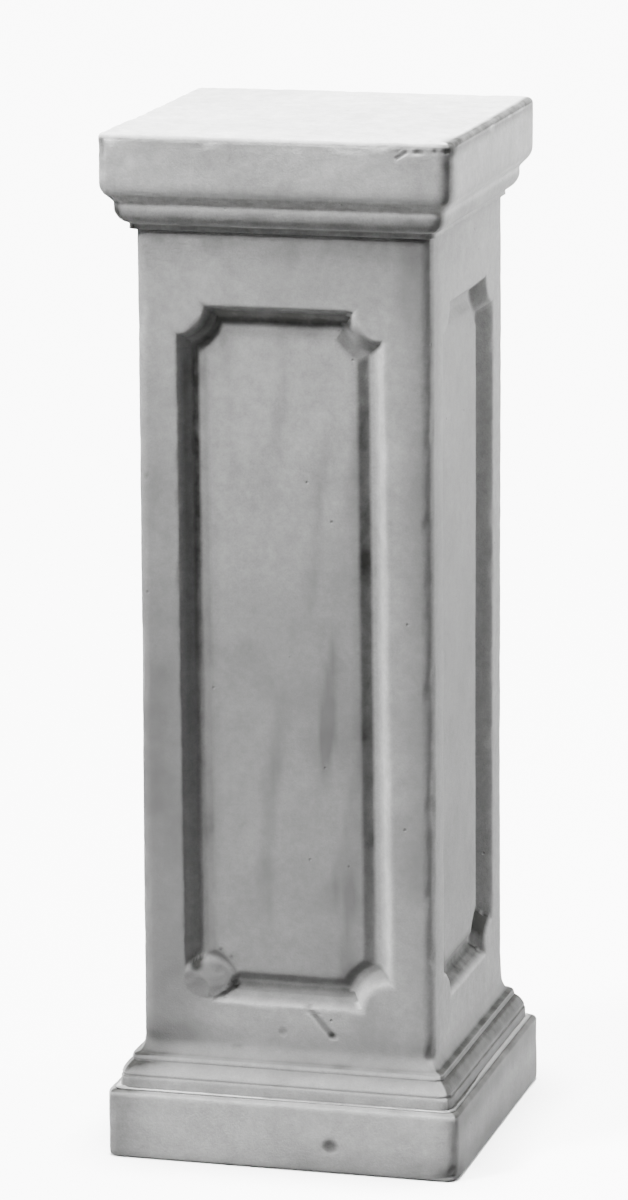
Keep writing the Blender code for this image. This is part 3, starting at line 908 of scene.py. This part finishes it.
class PEDESTAL_OT_cap(Operator):
    """Builds the moulded cap"""
    bl_idname = "pedestal.cap"
    bl_label = "Cap"

    def execute(self, context):
        sizes = context.scene.pedestal_sizes
        rows = paced(softened(cap_path(sizes), 0.2 * MM, 1.0 * MM), 3.0 * MM, 0.2)
        chipped = np.array([(CAP_HIGH.x, CAP_HIGH.z - depth) for depth in np.arange(5.2, 15.0, 1.0) * MM])
        path = np.concatenate([rows, chipped])
        inward = path[:, 1] + (CAP_HIGH.x - path[:, 0]) * 2.0
        along = np.where(path[:, 0] < CAP_HIGH.x - 4.2 * MM, inward, path[:, 1])
        rising = np.where(path[:, 1] > CAP_HIGH.z - 5.0 * MM, along, path[:, 1])
        path = path[np.argsort(rising, kind="stable")]
        shares, turns = plan_columns(0.024, [(0.66, 1.0)], 7)
        skin = Skin()
        rings = skin.add_rings(path, shares, turns, np.full(len(path), sizes.cap_arris))
        skin.add_level(rings[0], rings[0][0, 2], 0.012, False)
        skin.add_level(rings[-1], rings[-1][0, 2], 0.0045, True)
        piece = skin.weld("cap_skin")
        self.weather(piece, sizes)
        dress(piece, "cap", context.scene.pedestal_colours)
        return {"FINISHED"}

    def chips(self, points):
        """Depth of the ragged chips along the front's top edge, and of the notch at its left end."""
        across = points[:, 0]
        drop = CAP_HIGH.z - points[:, 2]
        places = np.stack([across, np.zeros(len(points)), np.zeros(len(points))], 1)
        line = 7.0 * MM + 1.5 * MM * wander(places, 0.008, 21.0)
        bite = fall(np.abs(drop - line), 0.5 * MM, 2.4 * MM)
        depth = bite * ramp(across, 0.098, 0.112) * ramp(wander(places, 0.006, 22.0) + 3.0 * across, 0.0, 0.5)
        branch = stroke(np.stack([across, drop], 1), (0.1090, 0.0080), (0.1020, 0.0125), 0.0022)
        depth = np.maximum(depth, 0.8 * branch)
        notch = spot(points, (CAP_LOW.x, CAP_LOW.y, CAP_HIGH.z - 13.0 * MM), (9.0 * MM, 9.0 * MM, 10.0 * MM))
        return depth, notch

    def weather(self, piece, sizes):
        """Moves the faces off true, and wears and chips the arrises."""
        at = Places(piece)
        points, height = at.points, at.height
        upright = arris_share(points, sizes.cap_arris)
        inside = ramp(height, CAP_LOW.z + 0.5 * MM, CAP_LOW.z + 3.0 * MM)
        top_edge = ramp(at.half, CAP_HIGH.x - 0.012, CAP_HIGH.x - 0.003)
        top_edge *= ramp(height, CAP_HIGH.z - 0.012, CAP_HIGH.z - 0.003)
        ragged = ramp(wander(points, 0.022, 13.0, 3), -0.1, 0.8)
        worn = ragged * sizes.arris_wear * np.maximum(upright, 0.6 * top_edge) + 0.3 * MM
        chips, notch = self.chips(points)
        worn = worn + 1.0 * MM * chips * at.front + 2.5 * MM * notch
        on_top = fall(at.half, CAP_HIGH.x - 0.014, CAP_HIGH.x - 0.002) * (height > CAP_HIGH.z - 1.0 * MM)
        shift = sway(points, sizes, 0.15, 11.0) * (1.0 - 0.6 * on_top) - worn * (1.0 - on_top)
        set_points(piece, points + at.normals * (shift * inside)[:, None], CAP_LOW, CAP_HIGH)
        self.discolour(piece, at, chips, notch)

    def discolour(self, piece, at, chips, notch):
        """Stores where grime and painted shade, stains, and bleaching and painted light lie."""
        points, height, half, front, right = at.points, at.height, at.half, at.front, at.right
        rise = at.normals[:, 2]
        patchy = wander(points, 0.03, 14.0, 3)
        cloudy = wander(points, 0.12, 15.0, 2)
        level = ramp(rise, 0.75, 0.97) * (height > CAP_HIGH.z - 0.006)
        below = height - CAP_LOW.z
        drop = CAP_HIGH.z - height
        fascia = ramp(below, 0.027, 0.036)
        foot = ramp(below, 0.026, 0.030) * fall(below, 0.032, 0.052)
        ovolo = fall(below, 0.007, 0.0245) * ramp(below, 0.0035, 0.0055)
        fillet = fall(below, 0.0035, 0.0055)
        soffit = fall(np.abs(below - 0.0250), 0.004, 0.0085)
        # Painted shade on the cap's ovolo and fillet, which turn down under the fascia, and a little at the
        # fascia's foot
        grime_and_shade = 0.06 * (1.0 - fascia) * (1.0 - soffit) + 0.05 * foot * fascia + 0.36 * ovolo + 0.12 * fillet
        grime_and_shade = grime_and_shade * (1.0 + 0.5 * patchy) * (1.0 - 0.85 * right)
        near = fall(points[:, 1], CAP_LOW.y + 0.01, CAP_LOW.y + 0.07)
        # Painted shade along the rounded top arris of the right side, darker near the front
        edge = right * fall(drop, 0.006, 0.0150) * fall(rise, 0.90, 0.99)
        grime_and_shade += edge * (0.42 + 0.44 * ramp(rise, 0.05, 0.5) + 0.16 * near)
        begin = CAP_HIGH.x - 0.0078 - 0.006 * near
        rim = right * (height > CAP_HIGH.z - 0.005) * ramp(half, begin, CAP_HIGH.x - 0.004)
        grime_and_shade = np.maximum(grime_and_shade, rim * (0.88 + 0.08 * near))
        grime_and_shade += 0.16 * front * fall(drop, 0.004, 0.010) * (1.0 - level)
        # Painted shade along the cap's front right upright arris
        arris = 1.4 * front * fall(half - points[:, 0], 0.003, 0.015)
        arris += right * fall(half + points[:, 1], 0.003, 0.026)
        grime_and_shade += arris * (1.0 - level) * (0.22 + 0.26 * fascia + 0.15 * patchy)
        # Painted shade under the left end of the cap's mouldings, with dirt
        left = front * fall(half + points[:, 0], 0.003, 0.012)
        left += (at.side == LEFT) * fall(half + points[:, 1], 0.003, 0.012)
        grime_and_shade += left * 0.16 * (1.0 - level) + 0.66 * left * (1.0 - fascia)
        grime_and_shade += front * chips * 0.62 + notch * 0.35 * (1.0 - level)
        grime_and_shade += 0.05 * ramp(patchy, 0.1, 0.8) * (1.0 - level)
        set_mask(piece, "grime_and_shade", grime_and_shade)
        # Painted light on the soffit and band in the fascia's shade, and on the right side's fascia; the top
        # and fascia are paler
        pale = 0.30 * level + (1.0 - level) * (0.12 + 0.24 * fascia + 0.20 * right * fascia + 0.85 * soffit)
        set_mask(piece, "bleach_and_highlight", pale)
        stain_and_shade = front * (0.12 * ramp(at.across, -0.12, 0.13) + 0.24 * ramp(at.across, 0.070, 0.130))
        stain_and_shade += 0.14 * cloudy + 0.12 * patchy
        set_mask(piece, "stain_and_shade", (stain_and_shade + 0.02) * (1.0 - level) * (1.0 - soffit))
        set_mask(piece, "runs", 0.25 * (1.0 - fascia) * (1.0 - right))


class PEDESTAL_OT_studio(Operator):
    """Sets the pale floor, the soft studio light and the photograph's camera"""
    bl_idname = "pedestal.studio"
    bl_label = "Studio"

    def execute(self, context):
        self.floor(context.scene.pedestal_colours)
        self.sun("front_left", (-46.0, 44.0), 7.7, 12.0)
        self.sun("overhead", (0.0, 90.0), 30.0, 8.0)
        self.panel_light("back_right", (121.0, 16.0), 2.2, 76.0, 0.9)
        world = bpy.data.worlds.new("studio")
        world.use_nodes = True
        sky = world.node_tree.nodes["Background"]
        sky.inputs["Color"].default_value = (1.0, 1.0, 1.0, 1.0)
        sky.inputs["Strength"].default_value = 0.20
        context.scene.world = world
        self.camera(context.scene)
        return {"FINISHED"}

    def floor(self, colours):
        """A wide level floor under the plinth."""
        mesh = bmesh.new()
        bmesh.ops.create_grid(mesh, x_segments=1, y_segments=1, size=60.0)
        data = bpy.data.meshes.new("studio_floor")
        mesh.to_mesh(data)
        mesh.free()
        made = bpy.data.objects.new("studio_floor", data)
        made.location.z = CAD_BOX[0][2]
        bpy.context.scene.collection.objects.link(made)
        paint = bpy.data.materials.new("pale_floor")
        paint.use_nodes = True
        shader = paint.node_tree.nodes["Principled BSDF"]
        shader.inputs["Base Color"].default_value = (*colours.floor, 1.0)
        shader.inputs["Roughness"].default_value = 0.9
        shader.inputs["Specular IOR Level"].default_value = 0.1
        data.materials.append(paint)
        made.visible_diffuse = False

    def light(self, kind, name, direction, middle, distance):
        """A light aimed at the axis from an azimuth, 0 in front, and an elevation in degrees."""
        azimuth, elevation = (math.radians(angle) for angle in direction)
        light = bpy.data.lights.new(name, kind)
        made = bpy.data.objects.new(name, light)
        source = Vector((math.sin(azimuth) * math.cos(elevation), -math.cos(azimuth) * math.cos(elevation),
                         math.sin(elevation)))
        made.location = Vector((0.0, 0.0, middle)) + source * distance
        made.rotation_euler = source.to_track_quat("Z", "Y").to_euler()
        bpy.context.scene.collection.objects.link(made)
        return light

    def sun(self, name, direction, strength, softness):
        """A far soft light."""
        light = self.light("SUN", name, direction, 0.0, 4.0)
        light.energy = strength
        light.angle = math.radians(softness)

    def panel_light(self, name, direction, distance, power, size):
        """A square soft light, aimed at the middle of the shaft."""
        light = self.light("AREA", name, direction, 0.55, distance)
        light.energy = power
        light.size = size

    def camera(self, scene):
        """The camera that the photograph was taken with."""
        lens = bpy.data.cameras.new("photograph")
        lens.sensor_fit = "VERTICAL"
        lens.sensor_height = SENSOR_SIZE
        lens.lens = FOCAL_PIXELS * SENSOR_SIZE / IMAGE_HEIGHT
        lens.clip_end = 200.0
        made = bpy.data.objects.new("photograph", lens)
        turn = Matrix.Rotation(CAMERA_AZIMUTH, 4, "Z") @ Matrix.Rotation(math.pi / 2 + CAMERA_PITCH, 4, "X")
        made.matrix_world = Matrix.Translation(CAMERA_PLACE) @ turn @ Matrix.Rotation(CAMERA_ROLL, 4, "Z")
        scene.collection.objects.link(made)
        scene.camera = made


class PEDESTAL_PT_panel(Panel):
    """Lists the pedestal's steps, sizes and colours"""
    bl_label = "Pedestal"
    bl_idname = "PEDESTAL_PT_panel"
    bl_space_type = "VIEW_3D"
    bl_region_type = "UI"
    bl_category = "Pedestal"

    def draw(self, context):
        for step in STEPS:
            self.layout.operator(step.bl_idname)
        for group in (context.scene.pedestal_sizes, context.scene.pedestal_colours):
            box = self.layout.box()
            for name in group.__annotations__:
                box.prop(group, name)


STEPS = (PEDESTAL_OT_shaft, PEDESTAL_OT_cap, PEDESTAL_OT_studio)
CLASSES = (PedestalSizes, PedestalColours, *STEPS, PEDESTAL_PT_panel)


def register():
    """Registers the classes and hangs the settings on the scene."""
    for found in CLASSES:
        bpy.utils.register_class(found)
    bpy.types.Scene.pedestal_sizes = PointerProperty(type=PedestalSizes)
    bpy.types.Scene.pedestal_colours = PointerProperty(type=PedestalColours)


def unregister():
    """Takes the settings and the classes away again."""
    del bpy.types.Scene.pedestal_colours
    del bpy.types.Scene.pedestal_sizes
    for found in reversed(CLASSES):
        bpy.utils.unregister_class(found)


def main():
    """Builds the pieces and the studio."""
    register()
    bpy.ops.pedestal.shaft()
    bpy.ops.pedestal.cap()
    bpy.ops.pedestal.studio()


if __name__ == "__main__":
    main()
